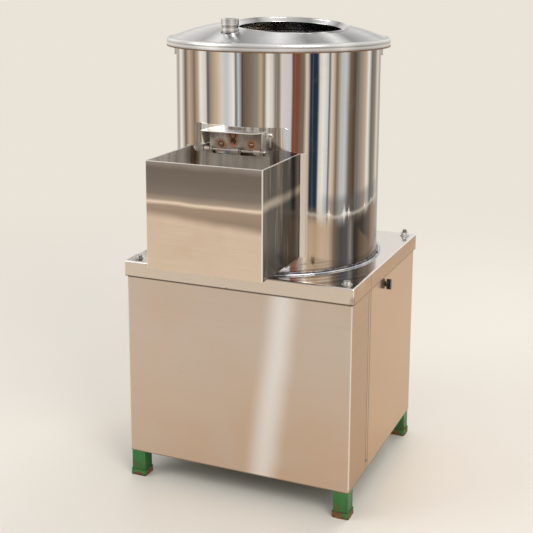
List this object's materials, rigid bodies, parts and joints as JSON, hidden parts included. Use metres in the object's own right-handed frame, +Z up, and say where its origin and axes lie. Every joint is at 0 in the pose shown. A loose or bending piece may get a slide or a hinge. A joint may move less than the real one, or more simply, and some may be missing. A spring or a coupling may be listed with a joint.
{
  "type": "electric potato peeler",
  "caption": "Batch potato peeler: abrasive drum with turning base, domed lid with feed ring, hinged door in a chute box, on a sheet cabinet with short legs.",
  "frame": {"origin": "bottom centre of the whole machine's box, on the floor", "axes": "+Z up, -Y towards the operator and the chute, +X towards the side with the switch"},
  "size_m": [0.609, 0.749, 1.171],
  "materials": {
    "green_paint": "worn green enamel with chips",
    "rusty_steel": "dark and rusty",
    "grey_paint": "plain primer",
    "brushed_panel": "brushed, slightly warm",
    "tray_steel": "brushed, bright edges",
    "polished_drum": "mirror polished stainless",
    "chute_steel": "polished stainless sheet",
    "door_steel": "polished stainless sheet",
    "grey_steel": "dull grey sheet",
    "lid_steel": "polished stainless",
    "inlet_steel": "turned stainless",
    "bolt_steel": "bright",
    "rusty_bolt": "rusted",
    "bearing_steel": "ground",
    "cast_grey": "painted casting",
    "motor_paint": "painted die casting",
    "abrasive_grit": "coarse mineral grit in resin",
    "black_rubber": "matte",
    "brown_edging": "brown edging",
    "switch_plastic": "matte black",
    "knob_plastic": "glossy black",
    "drain_plastic": "grey pipe"
  },
  "bodies": {
    "cabinet": {"legs": "green_paint", "foot_caps": "rusty_steel", "frame_rails": "green_paint", "cross_beams": "green_paint", "carrier_plate": "grey_paint", "front_cover": "brushed_panel", "left_panel": "brushed_panel", "right_panel": "brushed_panel", "back_panel": "brushed_panel", "top_tray": "tray_steel", "tray_bolts": "bolt_steel", "panel_screws": "bolt_steel", "drum_shell": "polished_drum", "drum_flange": "tray_steel", "flange_bolts": "bolt_steel", "drum_floor": "tray_steel", "drum_liner": "abrasive_grit", "rim_clips": "bolt_steel", "door_frame": "door_steel", "door_hood": "door_steel", "hinge_header": "grey_steel", "header_bolts": "rusty_bolt", "hinge_rod": "bolt_steel", "chute_box": "chute_steel", "chute_sill": "chute_steel", "bearing_housing": "cast_grey", "housing_bolts": "bolt_steel", "bearing_outer_rings": "bearing_steel", "bearing_balls": "bearing_steel", "shaft_seal": "black_rubber", "v_belt": "black_rubber", "motor": "motor_paint", "motor_cradle": "green_paint", "motor_bolts": "bolt_steel", "switch_body": "switch_plastic", "cable_gland": "switch_plastic", "drain_pipe": "drain_plastic", "catch_pivot": "bolt_steel"},
    "turntable": {"bearing_inner_rings": "bearing_steel", "main_shaft": "bearing_steel", "driven_pulley": "cast_grey", "turntable_disc": "cast_grey", "turntable_grit": "abrasive_grit", "hub_nut": "bolt_steel"},
    "motor_rotor": {"motor_shaft": "bearing_steel", "motor_pulley": "cast_grey"},
    "lid": {"lid_dome": "lid_steel", "lid_edging": "brown_edging", "feed_collar": "lid_steel", "water_inlet": "inlet_steel"},
    "door": {"discharge_door": "door_steel", "door_gasket": "black_rubber"},
    "catch": {"drop_catch": "bolt_steel"},
    "knob": {"switch_spindle": "bearing_steel", "switch_knob": "knob_plastic", "knob_screw": "bolt_steel"}
  },
  "joints": [
    {"name": "turntable_spin", "type": "hinge", "parent": "cabinet", "child": "turntable", "pos_m": [-0.0045, 0.0615, 0.6], "axis": [0, 0, 1], "continuous": true},
    {"name": "motor_spin", "type": "hinge", "parent": "cabinet", "child": "motor_rotor", "pos_m": [0.1455, 0.2015, 0.433], "axis": [0, 0, 1], "continuous": true},
    {"name": "lid_lift", "type": "slide", "parent": "cabinet", "child": "lid", "axis": [0, 0, 1], "range_m": [0, 0.12]},
    {"name": "door_swing", "type": "hinge", "parent": "cabinet", "child": "door", "pos_m": [-0.0045, -0.207, 0.871], "axis": [-1, 0, 0], "range_deg": [0, 38]},
    {"name": "catch_swing", "type": "hinge", "parent": "cabinet", "child": "catch", "pos_m": [0.0765, -0.18398, 0.90854], "axis": [0.3133, -0.9496, 0], "range_deg": [-8, 90]},
    {"name": "knob_turn", "type": "hinge", "parent": "cabinet", "child": "knob", "pos_m": [0.2905, 0.0615, 0.509], "axis": [1, 0, 0], "range_deg": [0, 90]}
  ],
  "couplings": [
    {"joint": "motor_spin", "follows": "turntable_spin", "ratio": 3.2281}
  ]
}
